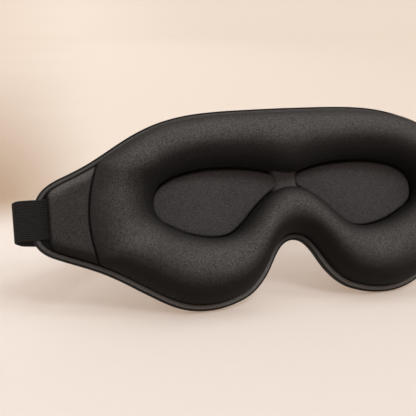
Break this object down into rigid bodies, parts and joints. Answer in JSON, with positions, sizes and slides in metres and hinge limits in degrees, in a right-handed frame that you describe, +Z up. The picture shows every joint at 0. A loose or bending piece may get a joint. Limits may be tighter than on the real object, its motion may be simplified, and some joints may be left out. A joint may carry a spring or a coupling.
{
  "type": "contoured sleep mask",
  "caption": "Padded contoured sleep mask with a fat face cushion round two deep eye cavities, a nose notch, side tabs and an adjustable elastic head strap.",
  "frame": {"origin": "centre of the footprint box on the surface it stands on", "axes": "+Z up, +X to the right seen from the face side, -Y towards the face side; the mask leans back 22.3 degrees with its top towards +Y and the strap folded behind it"},
  "size_m": [0.2597, 0.12, 0.0912],
  "materials": {
    "foam": "open-cell foam, matt",
    "shell_foam": "moulded foam, matt",
    "outer_fabric": "brushed microfibre, soft matt",
    "lining_fabric": "fine knit, matt",
    "cushion_fabric": "peach-skin microfibre, soft matt with a faint sheen",
    "pad_fabric": "fine knit, matt",
    "panel_fabric": "brushed microfibre, soft matt",
    "elastic": "ribbed knitted elastic, matt",
    "thread": "polyester thread, slight sheen",
    "hardware_plastic": "moulded plastic, satin"
  },
  "bodies": {
    "mask": {"outer_shell": "shell_foam", "outer_cover": "outer_fabric", "base_lining": "lining_fabric", "cushion_foam": "foam", "cushion_cover": "cushion_fabric", "eye_pad_foam_left": "foam", "eye_pad_cover_left": "pad_fabric", "eye_pad_foam_right": "foam", "eye_pad_cover_right": "pad_fabric", "side_panel_foam_left": "foam", "side_panel_cover_left": "panel_fabric", "side_panel_foam_right": "foam", "side_panel_cover_right": "panel_fabric", "strap_anchor_left": "elastic", "strap_anchor_right": "elastic", "anchor_stitching_left": "thread", "anchor_stitching_right": "thread"},
    "strap": {"strap_left": "elastic", "strap_right": "elastic", "strap_return": "elastic", "ring": "hardware_plastic", "ring_stitching": "thread"},
    "slider": {"slider": "hardware_plastic", "slider_loop": "elastic", "slider_stitching": "thread"}
  },
  "joints": [
    {"name": "strap_swing", "type": "hinge", "parent": "mask", "child": "strap", "pos_m": [0, -0.02955, 0.04569], "axis": [1, 0, 0], "range_deg": [0, 195]},
    {"name": "slider_slide", "type": "slide", "parent": "strap", "child": "slider", "axis": [1, 0, 0], "range_m": [0, 0.035], "deforming": ["strap_return"]}
  ]
}
